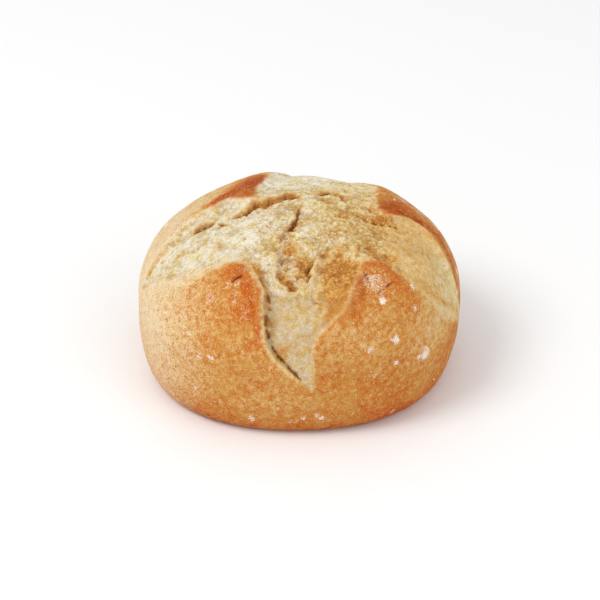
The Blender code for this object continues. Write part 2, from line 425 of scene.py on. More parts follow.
def warped(points, length, amount, seed):
    """The points, pushed about by noise, so that a pattern read from them is uneven."""
    shift = Vector((seed, -seed, seed))
    pushes = [noise.noise_vector(Vector(point) / length + shift) for point in points]
    return points + amount * np.array(pushes)


def ridges(points, length, seed):
    """Noise with sharp crests between rounded hollows, from 0 to about 1.7."""
    shift = Vector((seed, -2 * seed, seed))
    places = [Vector(point) / length + shift for point in points]
    crests = [noise.ridged_multi_fractal(place, NOISE_ROUGHNESS, 2.0, 3, 1.0, 2.0) for place in places]
    return np.array(crests)


def cells_of(points, spacing, seed):
    """For seeds scattered about this far apart: the distance to the nearest, and a random share for it."""
    shift = Vector((seed, -seed, 2 * seed))
    found = np.empty((len(points), 2))
    for i, point in enumerate(points):
        distances, places = noise.voronoi(Vector(point) / spacing + shift)
        found[i] = distances[0] * spacing, 0.5 + 0.5 * noise.cell(places[0] * CHANCE_SPREAD)
    return found.T


RIDGES_MEAN = 1.08
STRAND_STRETCH = (0.5, 1.0, 1.0)
print("4 mm waves at three places a millimetre apart:", waves(np.eye(3), 4.0).round(2))

# %% [markdown]
# ## Torn ledges, cracks and the hollow
#
# Where the crumb tore unevenly, one strand stands above the next: these are ledges, and each has a step and
# a dark crease at its foot. A crack is a narrow groove. In the middle a piece was pulled out and left a
# shallow, rough hollow, with a flap beside it. They could be cut with booleans, but as paths on the map
# they stay part of one skin.

# %% The ledges
# Each ledge: its path, the step up to its left, how far the step reaches, and how browned its face is, which
# also sets the painted shade at its foot.
LEDGES = (
    (
        ((2.4, 1.0), (-2.0, 4.6), (-5.0, 5.2), (-8.6, 3.4), (-11.8, 0.6), (-15.5, -1.2), (-25.6, -5.0)),
        *(-2.0, 5.0, 1.0),
    ),
    (((-26.4, -2.8), (-29.5, -2.4), (-33.5, -2.6), (-37.2, -3.6)), -1.8, 3.0, 1.0),
    (((12.0, 8.6), (7.0, 8.2), (3.0, 5.6)), -1.2, 3.0, 0.7),
    (
        (
            *((2.2, -41.0), (2.5, -36.6), (3.0, -32.4), (4.0, -28.8)),
            *((7.6, -26.4), (8.8, -22.6), (11.5, -19.6), (14.0, -18.0)),
        ),
        *(-1.5, 4.0, 0.2),
    ),
    (((4.0, -46.0), (4.4, -42.0), (5.4, -37.0), (4.6, -34.0)), -0.5, 3.0, 0.1),
)
LEDGE_SLOPE = 0.5
print("steps of the ledges, mm:", [step for _, step, _, _ in LEDGES])

# %% The cracks, folds and pits
# Each groove: its path, half its width, its depth, how much painted shade darkens it, and how toasted it is.
GROOVES = (
    # The crack over the middle, and where it runs out.
    (
        ((0.4, 0.6), (-0.8, -3.0), (-1.3, -6.0), (-1.5, -9.4), (-2.8, -12.6), (-4.2, -16.2)),
        *(0.55, 1.5, 0.9, 0.6),
    ),
    (((-4.6, -16.6), (-6.2, -18.8), (-6.4, -21.0)), 0.45, 0.7, 0.3, 0.4),
    # Small tears behind it, and one beside the left ledge.
    (((1.6, 2.4), (4.4, 4.4), (7.4, 2.4)), 0.4, 0.8, 0.4, 0.5),
    (((9.0, 7.0), (12.0, 6.4), (13.4, 2.4)), 0.6, 0.9, 0.5, 0.6),
    (((-27.0, -4.6), (-24.6, -7.0), (-22.0, -8.6)), 0.5, 0.6, 0.4, 0.5),
    # The shallow fold at the left arm's end.
    (((-57.0, -11.0), (-51.0, -6.8), (-44.0, -3.0)), 0.5, 0.6, 0.0, 0.35),
    # The valley beside the flap.
    (((14.8, -24.0), (13.0, -29.0), (11.0, -34.0), (9.4, -39.0), (7.0, -44.0)), 2.2, 0.8, 0.0, 0.5),
    # Cracked skin on the front right petal, and a fold on the front left one.
    (((18.8, -31.4), (19.4, -33.0), (20.4, -34.6)), 0.25, 0.4, 0.8, 0.0),
    (((20.8, -32.6), (21.4, -31.4), (22.6, -30.6)), 0.25, 0.4, 0.8, 0.0),
    (((28.0, -31.4), (26.4, -33.4), (24.6, -35.8), (22.6, -37.0)), 0.25, 0.3, 0.6, 0.0),
    (((24.0, 4.6), (30.0, 5.4), (37.0, 5.0)), 0.35, 0.4, 0.5, 0.0),
    (((27.0, 2.2), (34.0, 3.2), (41.0, 2.8)), 0.35, 0.4, 0.5, 0.0),
    (((46.0, 1.4), (53.0, -4.6), (58.0, -11.0)), 0.35, 0.3, 0.5, 0.0),
    (((-21.0, -34.8), (-19.4, -33.6), (-17.2, -33.2)), 0.5, 0.9, 0.8, 0.0),
    # Under the front lip, where the crumb tore off in strokes.
    (((-9.6, -37.4), (-10.6, -40.4), (-10.6, -42.8)), 0.25, 0.4, 0.6, 0.3),
    (((-11.2, -45.0), (-12.2, -49.5), (-12.0, -52.4), (-11.4, -55.0)), 0.32, 0.7, 0.65, 0.8),
    (((-10.8, -56.6), (-9.8, -58.8), (-8.4, -60.8), (-6.0, -63.4)), 0.3, 0.7, 0.6, 0.7),
    (((-7.4, -62.0), (-3.2, -66.0), (0.4, -68.8), (5.0, -71.4)), 0.2, 0.5, 0.5, 0.4),
)
# Each pit: its middle, radius and depth, and how much painted shade darkens it.
PITS = (
    ((20.0, -5.5), 1.5, 0.8, 0.5),
    ((23.0, -5.0), 1.4, 0.9, 0.7),
    ((25.5, -4.5), 1.3, 0.9, 0.9),
    ((28.5, -3.5), 1.3, 0.9, 0.8),
    ((30.5, -3.5), 1.1, 0.8, 1.0),
    ((32.0, -6.0), 1.2, 0.7, 0.4),
    ((25.0, -9.0), 0.8, 0.6, 0.3),
    ((-20.0, -4.5), 0.9, 0.6, 0.6),
    ((-17.5, -3.5), 0.8, 0.6, 0.5),
    ((-14.0, -2.0), 0.7, 0.5, 0.5),
    ((-10.5, -44.0), 0.7, 0.5, 0.6),
    ((-3.5, -15.0), 1.3, 0.6, 0.6),
    ((-3.5, -23.0), 2.0, 0.5, 0.1),
    ((0.5, -29.5), 2.4, 0.8, 0.15),
    ((2.5, -30.5), 1.0, 0.8, 0.4),
    ((-1.0, -33.0), 1.0, 0.5, 0.3),
    ((-6.5, -33.0), 1.3, 0.7, 0.2),
    ((-5.0, -35.0), 1.2, 0.7, 0.25),
    ((-3.0, -37.5), 1.4, 0.8, 0.35),
    ((4.5, -27.0), 0.9, 0.6, 0.4),
    ((7.0, -25.0), 1.3, 0.8, 0.4),
    ((13.0, -14.5), 0.6, 0.5, 0.7),
    ((5.0, -42.5), 0.8, 0.6, 0.8),
    ((-38.5, -13.5), 1.4, 0.6, 0.2),
    ((-17.0, -17.0), 0.8, 0.5, 0.5),
    ((-26.0, -16.5), 1.5, 0.4, 0.0),
    ((8.0, 0.5), 1.4, 0.6, 0.2),
    ((27.0, -22.0), 1.7, 0.4, 0.0),
    ((21.0, -20.5), 1.3, 0.4, 0.1),
    ((13.5, 11.0), 1.0, 0.5, 0.2),
)
print("deepest groove and pit, mm:", max(row[2] for row in GROOVES), max(row[2] for row in PITS))

# %% The hollow, and distances on the map
HOLLOW = (
    *((-9.8, -23.4), (-7.8, -25.0), (-7.6, -28.0), (-8.0, -32.0), (-7.4, -35.0)),
    *((-4.8, -36.8), (-4.4, -38.6), (-2.0, -39.8), (-0.6, -37.4), (2.0, -36.0)),
    *((3.2, -31.4), (4.2, -28.2), (8.0, -25.6), (8.4, -21.4), (-4.0, -20.6)),
)
HOLLOW_DEPTH = 1.3


def path_field(u, v, path):
    """Distance from a path, the side (positive on its left), the share of its length, and the way to it."""
    path = np.array(path, float)
    lengths = np.hypot(*np.diff(path, axis=0).T)
    starts = np.concatenate([[0.0], np.cumsum(lengths)])
    best = np.full(u.shape, np.inf)
    side, along, to_u, to_v = np.zeros((4, *u.shape))
    for (u0, v0), (u1, v1), length, start in zip(path[:-1], path[1:], lengths, starts):
        du, dv = (u1 - u0) / length, (v1 - v0) / length
        run = np.clip((u - u0) * du + (v - v0) * dv, 0.0, length)
        away = np.hypot(u - u0 - run * du, v - v0 - run * dv)
        nearer = away < best
        best = np.where(nearer, away, best)
        side = np.where(nearer, np.sign(du * (v - v0) - dv * (u - u0)), side)
        along = np.where(nearer, (start + run) / starts[-1], along)
        to_u = np.where(nearer, u0 + run * du - u, to_u)
        to_v = np.where(nearer, v0 + run * dv - v, to_v)
    return best, side, along, to_u, to_v


def inside_field(u, v, outline):
    """Signed distance into a closed outline."""
    distance = path_field(u, v, outline + outline[:1])[0]
    crossings = np.zeros(u.shape, int)
    for (u0, v0), (u1, v1) in zip(outline, outline[1:] + outline[:1]):
        spans = (v0 > v) != (v1 > v)
        crossings += spans & (u < u0 + (v - v0) * (u1 - u0) / (v1 - v0 + 1e-12))
    return np.where(crossings % 2 == 1, distance, -distance)


crown = np.zeros(1)
print("from the crown to the hollow, mm:", round(float(-inside_field(crown, crown, HOLLOW)[0]), 1))


# %% [markdown]
# ## Gather the points
#
# An edge or a crack that cuts across square cells comes out as a saw. A finer mesh would hide that at a
# high price. Here the points near an edge or a narrow crack are drawn to it instead, so that a row of them
# follows it.

# %% Gather points to the edges and the cracks
GATHER = 0.8
GATHERED_SINK = (0.3, 1.2)
EDGE_PULL = 0.7
CRACK_PULL = 0.6


def gather(u, v):
    """Moves map places near an edge or a narrow groove closer to it, so that the mesh follows it."""
    for distance, _, sink, _, _, _, _, out_u, out_v in petals(u, v):
        pull = EDGE_PULL * distance * hump(distance, GATHER) * ease(sink, *GATHERED_SINK)
        u = u + pull * out_u
        v = v + pull * out_v
    for path, half_width, *_ in GROOVES:
        if half_width < GATHER:
            distance, _, _, to_u, to_v = path_field(u, v, path)
            pull = CRACK_PULL * hump(distance, GATHER)
            u, v = u + pull * to_u, v + pull * to_v
    return u, v


print("narrow cracks that points gather to:", sum(half_width < GATHER for _, half_width, *_ in GROOVES))


# %% [markdown]
# ## Shape the skin
#
# Each point of the ball gets a place on the map, and then a height over the plain body. All the layers are
# added up before the mesh takes them. The front left petal's edge also leans out over the crumb: its points
# slide sideways on the map first, so the lip has a real undercut, which a height alone can't give.

# %% Lay the points out and lean the lip over
OVERHANG = 0.7
LIP_WIDTH_ON_CRUST = 1.8
LIP_WIDTH_OVER_CRUMB = 0.45

bm, ball = blown_up_cube(CELLS)
u, v = gather(*crowd(*lay_out(ball)))
plain, _ = on_body(u, v)
ragged = 0.45 * waves(plain, 4.0, seed=3.0) + 0.25 * waves(plain, 1.4, seed=5.0)
ragged *= ease(plain[:, 2], 4.0, 14.0)
fields = list(petals(u, v))
lip_u = np.zeros(len(u))
lip_v = np.zeros(len(u))
for distance, _, _, _, _, undercut, _, out_u, out_v in fields:
    worn = distance + ragged - 0.2
    lean_out = OVERHANG * undercut * hump(worn, np.where(worn > 0, LIP_WIDTH_ON_CRUST, LIP_WIDTH_OVER_CRUMB))
    lip_u += lean_out * out_u
    lip_v += lean_out * out_v
points, normals = on_body(u + lip_u, v + lip_v)
above_floor = ease(points[:, 2], 0.3, 4.0)
print("points:", len(u), " most lean of the lip, mm:", round(float(np.hypot(lip_u, lip_v).max()), 2))

# %% Raise the petals and sink the crumb between them
CREST_BACK = 3.0
CREST_RISE = 3.2
CREST_FALL = 10.0
SINK_REACH = 12.0
LUMP_HEIGHT = 0.6
LUMP_LENGTH = 24.0

height = LUMP_HEIGHT * waves(points, LUMP_LENGTH) * ease(points[:, 2], 1.0, 10.0)
for (u0, v0), reach, rise in SWELLS:
    height += rise * hump(np.hypot(u - u0, v - v0), reach)
# Each mask is 1 where its name is true: golden and pale are the soft edges, wall the slope down to the crumb,
# the rim mask a pale rim with painted highlight.
crust, wall, rim_and_highlight, golden, pale, lip_crease = np.zeros((6, len(u)))
for distance, curl, sink, slope, fade, undercut, rim_amount, _, _ in fields:
    worn = distance + ragged
    crest = hump(distance - CREST_BACK, np.where(distance > CREST_BACK, CREST_FALL, CREST_RISE))
    drop = ease(-worn / slope, 0.0, 1.0) * hump(distance, SINK_REACH)
    height += curl * crest - sink * drop
    crust = np.maximum(crust, ease(worn, -0.25 * fade, 0.9 * fade))
    lip_crease = np.maximum(lip_crease, undercut * hump(worn + 0.8, 0.5))
    soft = ease(fade, 0.8, 2.0)
    golden = np.maximum(golden, hump(worn, 0.8 * fade) * soft)
    paling = (1 - ease(worn, -0.2 * fade, 2.0 * fade)) * ease(worn, -2 * fade, -fade)
    pale = np.maximum(pale, paling * soft)
    rim_and_highlight = np.maximum(rim_and_highlight, rim_amount * hump(worn - 0.3, 0.6))
    wide = ease(sink, 1.0, 2.0) * ease(slope, 1.8, 3.5)
    wall = np.maximum(wall, wide * ease(worn, -0.95 * slope, -0.35 * slope) * ease(-worn, -0.5, 0.5))
crumb = 1.0 - crust
print("crumb share:", round(float((crust < 0.5).mean()), 2))

# %% [markdown]
# ## Tear the crumb
#
# The tears come on top: ledges first, then cracks and pits, then the hollow. Noise bends every path a
# little and lets it fade in and out, because a torn edge is never even. Each tear also says how much
# painted shade darkens it and how toasted it is.

# %% Step the ledges
LEDGE_FOOT_DEPTH = 0.7
LIP_CREASE_DEPTH = 0.5

patchy = waves(points, 4.5, seed=61.0)
fine = waves(points, 1.1, octaves=2, seed=67.0)
# The crease under the lip gets painted shade in its colour; ledges, cracks, pits and the hollow add theirs
# below.
cavity = 0.2 * lip_crease
rim_and_highlight *= ease(fine + 0.2, -0.4, 0.3)
height -= LIP_CREASE_DEPTH * lip_crease
ledge_face = np.zeros(len(u))
for path, step, reach, face_toast_and_foot_shade in LEDGES:
    distance, side, along, _, _ = path_field(u, v, path)
    taper = ease(along, 0.0, 0.3) * ease(1 - along, 0.0, 0.3) * (1.0 + 0.5 * patchy)
    across = side * distance + 2.6 * ragged + 0.4 * fine
    height += 0.5 * step * taper * np.tanh(across / LEDGE_SLOPE) * hump(distance, reach)
    ledge_face += face_toast_and_foot_shade * np.minimum(1.5 * taper, 1.0) * hump(across + 0.15 * step, 0.7)
    foot = np.minimum(taper, 1.0) * hump(across + 0.4 * step, 0.5)
    height -= LEDGE_FOOT_DEPTH * foot
    # Painted shade in the crease at the ledge's foot.
    cavity += face_toast_and_foot_shade * foot * ease(fine + 0.4 * patchy, -0.5, 0.1)
    # The roof of the step is raised a little and gets a painted highlight along its edge.
    roof = taper * hump(across - 0.4 * step, 0.5)
    height += 0.15 * abs(step) * roof
    rim_and_highlight = np.maximum(rim_and_highlight, 0.8 * roof * ease(fine + 0.3, -0.3, 0.4))
print("ledges:", len(LEDGES), " share of points on their faces:", round(float((ledge_face > 0.5).mean()), 4))

# %% Open the cracks and the pits
toasted = np.zeros(len(u))
for path, half_width, depth, painted_shade, toasting in GROOVES:
    distance, _, along, _, _ = path_field(u, v, path)
    taper = ease(along, 0.0, 0.2) * ease(1 - along, 0.0, 0.2) * (1.0 + 0.7 * patchy)
    worn = distance + 0.8 * ragged + 0.35 * fine
    groove = taper * hump(np.maximum(worn, 0.0), half_width)
    height -= depth * groove
    # Painted shade darkens the groove.
    cavity += painted_shade * groove
    toasted += toasting * taper * hump(worn, 1.6 * half_width)
for (u0, v0), radius, depth, painted_shade in PITS:
    away = np.hypot(u - u0, v - v0) + 0.9 * ragged + 0.5 * fine
    height -= depth * hump(np.maximum(away, 0.0), 0.8 * radius)
    # Painted shade darkens the pit.
    cavity += painted_shade * hump(np.maximum(away, 0.0), 0.55 * radius)
    toasted += 0.6 * hump(away, 1.2 * radius)
print("grooves:", len(GROOVES), " pits:", len(PITS))

# %% Pull the piece out of the middle
# The hollow's front is a torn brink, and its back runs out softly.
BRINK_FROM = 23.0
BRINK_TO = 27.0

into_hollow = inside_field(u, v, HOLLOW) + 1.2 * ragged + 0.7 * fine
hollow = ease(into_hollow, -0.2, 0.9 + 1.6 * ease(v, -BRINK_TO, -BRINK_FROM))
height -= HOLLOW_DEPTH * hollow
brink = ease(-v, BRINK_FROM, BRINK_TO)
height += (0.1 + 0.4 * brink) * hump(into_hollow + 0.9, 0.8)
# A painted highlight along the brink, and painted shade in the crease just inside it.
rim_and_highlight = np.maximum(rim_and_highlight, 0.6 * brink * hump(into_hollow + 0.5, 0.5) * ease(fine + 0.3, -0.3, 0.4))
cavity += (0.2 + 0.35 * brink) * hump(into_hollow - 0.5, 0.4) * ease(patchy + fine, -0.1, 0.5)
cavity = np.clip(cavity, 0.0, 1.0)
print("share of points in the hollow:", round(float((hollow > 0.5).mean()), 3))

# %% [markdown]
# ## Strands and pores
#
# Torn crumb is a net of strands, a few millimetres long, round gas cells of every size. Sharp-crested noise
# gives the strands, and scattered cells give the crumbs on them and the pores between them. It is strongest
# in the middle, where the tear was deepest, and weak at the ends of the arms, where the skin only
# stretched.

# %% Roughen the crumb
# Each size of pore: how far apart they are, their radius, their depth, and the seed of their places.
PORES = ((5.0, 0.9, 0.7, 2.0), (2.4, 0.55, 0.35, 13.0))
CENTRE_REACH = 19.0
CRUMB_SPACING = 2.0
CRUMB_RADIUS = 1.1

torn = np.flatnonzero(crumb > 0.02)
strands = warped(points[torn], 3.0, 1.4, 71.0)
centre = hump(np.hypot(u - 2.0, v + 8.0), CENTRE_REACH)[torn]
rough = crumb[torn] * (0.2 + 0.25 * ease(-u[torn], 5.0, 15.0) + 1.0 * centre + 1.2 * hollow[torn])
relief = 0.45 * waves(points[torn], 8.0, seed=11.0) + 0.15 * fine[torn]
relief += 0.42 * (ridges(strands * STRAND_STRETCH, 3.0, seed=17.0) - RIDGES_MEAN)
relief += 0.16 * (ridges(strands, 1.5, seed=19.0) - RIDGES_MEAN)
away, chance = cells_of(strands, CRUMB_SPACING, 29.0)
relief += 0.16 * chance * (0.5 - (away / CRUMB_RADIUS) ** 2)
# The pores' depth is kept as a mask, which the material fills with painted shade.
pore_shade = np.zeros(len(u))
for spacing, radius, depth, seed in PORES:
    away, chance = cells_of(strands, spacing, seed)
    size = radius * (0.2 + 0.8 * chance)
    pit = np.clip(1.0 - (away / size) ** 2, 0.0, 1.0) * ease(fine[torn] + 0.4, -0.2, 0.3)
    relief -= depth * pit
    pore_shade[torn] = np.maximum(pore_shade[torn], crumb[torn] * depth * pit)
height[torn] += rough * relief
height += crust * above_floor * (0.18 * waves(points, 8.0, seed=31.0) + 0.06 * waves(points, 2.2, seed=37.0))
print("relief of the crumb, mm:", round(float(np.ptp(relief)), 2))

# %% Find where the crumb lies low, for painted shade, and where it is calm
front_end = ease(-v, 36.0, 46.0)
sunk = np.zeros(len(u))
sunk[torn] = ease(-relief, -0.1, 0.5)
for share in (ledge_face, 0.6 * wall, 2.4 * front_end):
    sunk[torn] = np.maximum(sunk, share)[torn]
# Painted shade for the crumb: darker in its sunk places, on ledge faces, on the wall and at the front end,
# and over all but the back.
low_spot_shade = crumb * (0.5 * sunk + 0.3 * (1 - ease(v, 4.0, 18.0)))
right_end = 0.9 * ease(u, 22.0, 36.0)
left_end = 0.3 * ease(-u, 10.0, 22.0)
calm = np.maximum(0.9 * ease(-v, 34.0, 46.0), np.maximum(right_end, left_end)) * (1 - hollow)
print("share of low spots:", round(float((low_spot_shade > 0.5).mean()), 3))

# %% Bring it into the solid's box and make the mesh
places = points + normals * height[:, None]
places[:, 2] = np.maximum(places[:, 2], 0.0)
low, high = places.min(axis=0), places.max(axis=0)
middle = [(a + b) / 2 / MM for a, b in zip(ROLL_LOW, ROLL_HIGH)]
places += (middle[0] - (low[0] + high[0]) / 2, middle[1] - (low[1] + high[1]) / 2, ROLL_LOW[2] / MM - low[2])
for vert, place in zip(bm.verts, places):
    vert.co = place * MM
mesh = bpy.data.meshes.new("roll")
bm.to_mesh(mesh)
bm.free()
mesh.shade_smooth()
roll = bpy.data.objects.new("roll", mesh)
bpy.context.scene.collection.objects.link(roll)
print("triangles:", 2 * len(mesh.polygons))

# %% [markdown]
# ## What the oven did
#
# The oven browns what stands proud and dries first: the tips and edges of the petals. The crumb only toasts
# where a thin strand stood up. Each effect is a mask on the mesh's points, which the material then colours.

# %% Brown the crust
# Each baked spot: its middle on the map, its reach and how much browner it is.
BAKED = (
    ((-17.6, -28.8), 5.0, 0.6),
    ((-14.5, -36), 4.5, 0.35),
    ((-13.5, -44), 5.0, 0.2),
    ((-11.5, -52), 6.0, 0.25),
    ((20, -28.5), 4.5, 0.15),
    ((27, -29), 4.5, 0.25),
    ((47, -38), 12.0, -0.2),
    ((-36, -48), 14.0, 0.05),
    ((5, -80), 10.0, -0.06),
    ((34, -31), 6.0, 0.2),
    ((16.5, -38), 3.0, 0.6),
    ((15, -44), 4.0, 0.5),
    ((-12.5, 17), 6.5, 0.7),
    ((-14, 9), 5.5, 0.9),
    ((-20, 7.5), 5.5, 0.6),
    ((22.8, 7.0), 3.0, 0.4),
    ((25, 4.0), 4.5, 0.35),
    ((32, 6.0), 5.5, 0.3),
)
# Each singed edge: its path on the map, half its width and how much browner it is.
SINGED = (
    (((25.0, 3.0), (30.0, 4.6), (38.0, 5.0)), 3.6, 0.6),
    (((23.6, 2.6), (23.6, 7.0), (24.6, 12.0)), 1.8, 0.5),
    (((-12, 12), (-16, 8.6), (-23, 8.4), (-31, 5.6), (-38, 2.4)), 1.9, 0.8),
    (((25, 3.0), (36, 3.6), (46, 2.0), (54, -4.0), (60, -13)), 1.7, 0.6),
    (((17.4, -34.0), (16.8, -39.0), (15.8, -44.0)), 1.6, 0.6),
    (((17.6, -29.5), (20.0, -26.6), (24.0, -25.6), (28.0, -28.0), (34.0, -29.5)), 1.8, 0.4),
)
BAKED_ALL_OVER = 0.42
# Beside the front arm the crust is streaked: the middle and the reach of each streaked place.
STREAKED = (((-16.0, -44.0), 9.0), ((17.0, -40.0), 7.0))

right, back, up = points.T
bake = np.full(len(u), BAKED_ALL_OVER) + 0.12 * waves(points, 16.0, seed=41.0)
for (u0, v0), reach, amount in BAKED:
    bake += amount * hump(np.hypot(u - u0, v - v0), reach)
# The left side is paler, less so towards the back.
pale_side = (1 - 0.5 * ease(back, 4.0, 30.0)) * (1 - ease(right, -52.0, -20.0))
bake -= 0.4 * pale_side * ease(up, 6.0, 28.0)
bake += 0.25 * (1 - ease(up, 0.0, 14.0)) + 0.12 * ease(u, -5.0, 15.0) * (1 - ease(up, 16.0, 30.0))
bake -= 0.25 * ease(-u, 8.0, 24.0) * ease(v, 2.0, 12.0) * ease(up, 10.0, 30.0)
for path, half_width, amount in SINGED:
    distance, _, along, _, _ = path_field(u, v, path)
    bake += amount * hump(distance, half_width) * ease(1 - along, 0.0, 0.5)
bake -= 0.55 * pale
streaks = waves(np.stack([u, 0.22 * v, 0.0 * u], axis=1), 1.5, seed=101.0)
for (u0, v0), reach in STREAKED:
    bake += 0.3 * hump(np.hypot(u - u0, 0.6 * (v - v0)), reach) * streaks
print("bake of the crust:", round(float(bake[crust > 0.5].mean()), 2))

# %% Toast the crumb
# Each toasted spot: its middle on the map, its reach and how much browner it is.
TOASTED = (
    ((11.5, -30.5), 4.2, 0.5),
    ((9.5, -37.0), 3.6, 0.5),
    ((12.0, -23.0), 3.0, 0.4),
    ((12.5, -5.5), 2.6, 0.25),
    ((9.5, -16.5), 2.4, 0.25),
    ((4.5, -19.5), 2.0, 0.2),
    ((0.5, -29.0), 2.0, 0.45),
    ((-3.5, -23.0), 2.0, 0.4),
    ((-6.0, -33.5), 1.6, 0.25),
    ((13.5, -34.0), 3.0, 0.4),
    ((10.5, -37.0), 3.6, 0.35),
    ((9.0, -8.0), 3.0, 0.25),
    ((14.0, -4.0), 3.0, 0.2),
    ((-22.0, -14.0), 3.0, 0.25),
    ((-10.0, -3.0), 3.0, 0.2),
    ((-14.0, -24.0), 3.0, 0.1),
    ((26.0, -3.0), 4.0, 0.3),
    ((6.0, -31.5), 2.6, 0.4),
    ((-6.5, -59.5), 2.2, 0.5),
    ((-10.0, -50.0), 1.4, 0.4),
)
# The crumb on the valley beside the flap was drawn out in strands across it.
VALLEY = ((15.0, -22.0), (13.0, -29.0), (10.4, -36.0), (8.0, -43.0))
VALLEY_WIDTH = 4.0

toast = 0.12 + 0.42 * ease(right, 6.0, 30.0) - 0.4 * ease(u, 40.0, 54.0) + 0.05 * hollow + 1.0 * ledge_face
toast -= 0.25 * ease(v, 8.0, 20.0)
toast += 0.1 * ease(-v, 34.0, 46.0) - 0.25 * ease(-right, 8.0, 20.0)
for (u0, v0), reach, amount in TOASTED:
    toast += amount * hump(np.hypot(u - u0, v - v0), reach)
toast += toasted + 0.5 * wall + 0.2 * low_spot_shade * hollow + 0.45 * golden
across_valley = np.stack([0.93 * u - 0.36 * v, 0.14 * u + 0.36 * v, 0 * u], axis=1)
toast += 0.6 * hump(path_field(u, v, VALLEY)[0], VALLEY_WIDTH) * waves(across_valley, 1.6, seed=97.0)
print("toast of the crumb:", round(float(toast[crust < 0.5].mean()), 2))

# %% Dust the crust with flour
# Each dusting: its middle on the map, its radius and how thick it lies.
FLOURED = (
    ((25.0, -39.0), 1.7, 0.9),
    ((22.0, -34.0), 4.8, 0.42),
    ((36.5, -37.0), 1.4, 0.9),
    ((32.5, -48.5), 1.9, 0.9),
    ((49.0, -46.5), 3.4, 0.9),
    ((36.5, -55.0), 1.5, 1.0),
    ((24.5, -54.5), 2.0, 0.55),
    ((20.0, -49.0), 1.2, 0.5),
    ((30.0, -62.0), 1.2, 0.6),
    ((3.0, -83.0), 1.6, 0.8),
    ((9.5, -81.5), 1.6, 0.8),
    ((-23.5, -80.5), 2.1, 1.0),
    ((-3.0, -84.5), 1.6, 0.7),
    ((-37.0, -52.5), 1.8, 0.55),
    ((-38.0, -44.5), 1.8, 0.5),
    ((-45.5, -61.0), 2.4, 0.6),
    ((-52.0, -46.0), 2.4, 0.4),
    ((-28.0, -37.0), 2.0, 0.5),
    ((-19.0, -35.5), 1.8, 0.45),
    ((-22.0, -35.0), 1.4, 0.4),
    ((-20.5, -38.5), 1.4, 0.4),
    ((-20.0, -41.0), 2.2, 0.3),
    ((-17.5, -45.0), 2.0, 0.25),
    ((32.0, 14.0), 4.0, 0.5),
    ((38.0, 12.5), 4.0, 0.5),
    ((45.0, 11.0), 4.0, 0.5),
    ((52.0, 6.0), 3.5, 0.45),
    ((58.0, -1.0), 3.0, 0.4),
)
FILM = (22.0, -34.0)

dusting = warped(points, 1.6, 0.8, 83.0)
away, chance = cells_of(dusting, 7.0, 5.0)
flour = 0.7 * ease(chance, 0.55, 0.6) * ease(1.3 * chance - away, -0.3, 0.4)
pushed_u, pushed_v = u + (dusting - points)[:, 0], v + (dusting - points)[:, 1]
for (u0, v0), reach, amount in FLOURED:
    flour = np.maximum(flour, amount * ease(-np.hypot(pushed_u - u0, pushed_v - v0), -reach, 0.0) ** 0.5)
flour *= crust * above_floor
# The veil is flour rubbed thin: over the left side, and as a film on the front right tip.
veil = ease(-right + 7.0 * waves(points, 12.0, seed=89.0), 18.0, 48.0) * crust * above_floor
veil *= 1 - 0.7 * ease(back, -2.0, 20.0)
film = ease(-np.hypot(pushed_u - FILM[0], pushed_v - FILM[1]), -6.0, -2.0)
veil = np.maximum(veil, 0.5 * crust * film)
print("floured share:", round(float((flour > 0.3).mean()), 3))

# %% Store the masks on the mesh
yellowing = ease(u, -16.0, 24.0) - 0.8 * ease(-v, 48.0, 58.0) - 0.3 * ease(v, 2.0, 18.0)
# The crease, pore and low masks carry painted shade, and the rim mask a pale rim with painted highlight.
masks = {
    "crust": crust,
    "bake": bake,
    "toast": toast,
    "cavity": cavity,
    "pore_shade": pore_shade,
    "low": low_spot_shade,
    "rim_and_highlight": rim_and_highlight,
    "flour": flour,
    "calm": calm,
    "veil": veil,
    "yellowing": yellowing,
}
for name, values in masks.items():
    layer = mesh.attributes.new(name, "FLOAT", "POINT")
    layer.data.foreach_set("value", np.clip(values, 0.0, 1.0).astype(np.float32))
    print(name, "mean", round(float(np.clip(values, 0, 1).mean()), 3))

# %% [markdown]
# ## Baked crust and crumb
#
# Crust is dough that dried and browned: a dull, faintly glossy skin, orange-brown where thick and cream
# where it stretched late. Crumb is dough that set before it browned: matt, pale and porous. They could be
# two materials with a seam between them, but they are one skin, so one material does both and the masks say
# which is where.


# %% Colours and the node helper
def linear(hex_colour):
    """An sRGB hex colour as the linear RGBA that the nodes use."""
    parts = [int(hex_colour[i : i + 2], 16) / 255 for i in (1, 3, 5)]
    return [c / 12.92 if c <= 0.04045 else ((c + 0.055) / 1.055) ** 2.4 for c in parts] + [1.0]


material = bpy.data.materials.new("baked crust and crumb")
material.use_nodes = True
tree = material.node_tree
tree.nodes.clear()


def add(kind, links=(), output=0, **settings):
    """Adds a node and gives an output of it. Each link is an input and a value or another output."""
    node = tree.nodes.new(kind)
    for name, value in settings.items():
        setattr(node, name, value)
    for key, value in dict(links).items():
        if isinstance(value, bpy.types.NodeSocket):
            tree.links.new(value, node.inputs[key])
        else:
            node.inputs[key].default_value = value
    return node.outputs[output] if node.outputs else node


print("crust brown as linear RGB:", [round(part, 3) for part in linear("#c27a30")[:3]])

